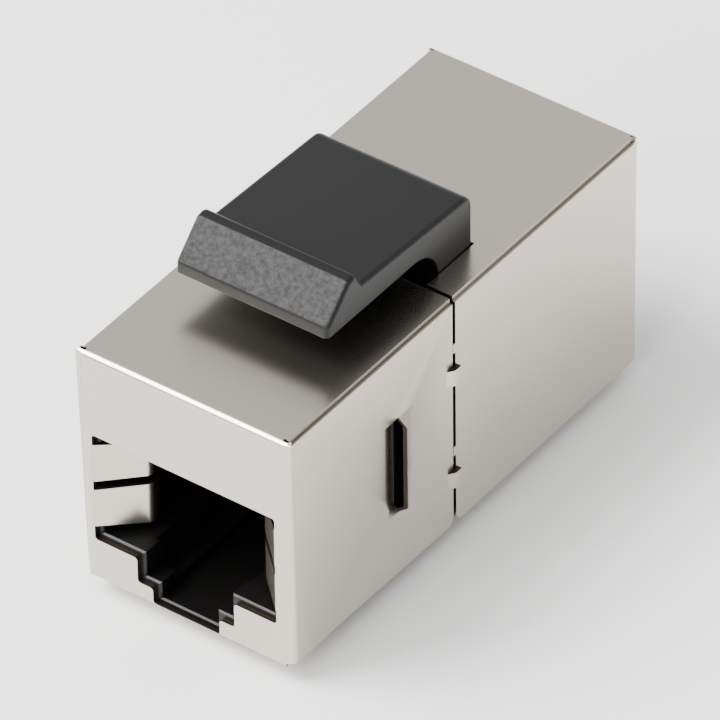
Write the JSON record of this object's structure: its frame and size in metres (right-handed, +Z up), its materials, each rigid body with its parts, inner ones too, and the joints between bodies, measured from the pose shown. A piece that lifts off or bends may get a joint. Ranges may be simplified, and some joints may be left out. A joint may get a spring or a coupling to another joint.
{
  "type": "rj45 inline coupler",
  "caption": "Shielded in-line coupler that joins two network leads through back-to-back modular sockets and snaps into a keystone panel opening.",
  "frame": {"origin": "under the middle of the body, level with the lowest face of the fixed catch", "axes": "+Z up through the snap latch, -Y out of the front socket (the one at the catch ridge's end), +Y out of the rear socket, +X across"},
  "size_m": [0.0156, 0.034, 0.0225],
  "materials": {
    "nickel_sheet": "nickel-plated folded steel sheet, satin to bright, soft blurred reflections",
    "socket_plastic": "black moulded polyester, smooth satin",
    "latch_plastic": "black moulded plastic, satin, spark-eroded grain on the thumb bevel",
    "carrier_plastic": "black moulded polyester",
    "circuit_board": "green solder mask on glass-fibre laminate",
    "contact_gold": "gold over nickel on phosphor bronze"
  },
  "bodies": {
    "root": {"front_shell": "nickel_sheet", "rear_shell": "nickel_sheet", "front_housing": "socket_plastic", "rear_housing": "socket_plastic", "latch": "latch_plastic", "front_contact_carrier": "carrier_plastic", "rear_contact_carrier": "carrier_plastic", "circuit_board": "circuit_board", "front_contact_1": "contact_gold", "front_contact_2": "contact_gold", "front_contact_3": "contact_gold", "front_contact_4": "contact_gold", "front_contact_5": "contact_gold", "front_contact_6": "contact_gold", "front_contact_7": "contact_gold", "front_contact_8": "contact_gold", "rear_contact_1": "contact_gold", "rear_contact_2": "contact_gold", "rear_contact_3": "contact_gold", "rear_contact_4": "contact_gold", "rear_contact_5": "contact_gold", "rear_contact_6": "contact_gold", "rear_contact_7": "contact_gold", "rear_contact_8": "contact_gold"}
  },
  "joints": []
}
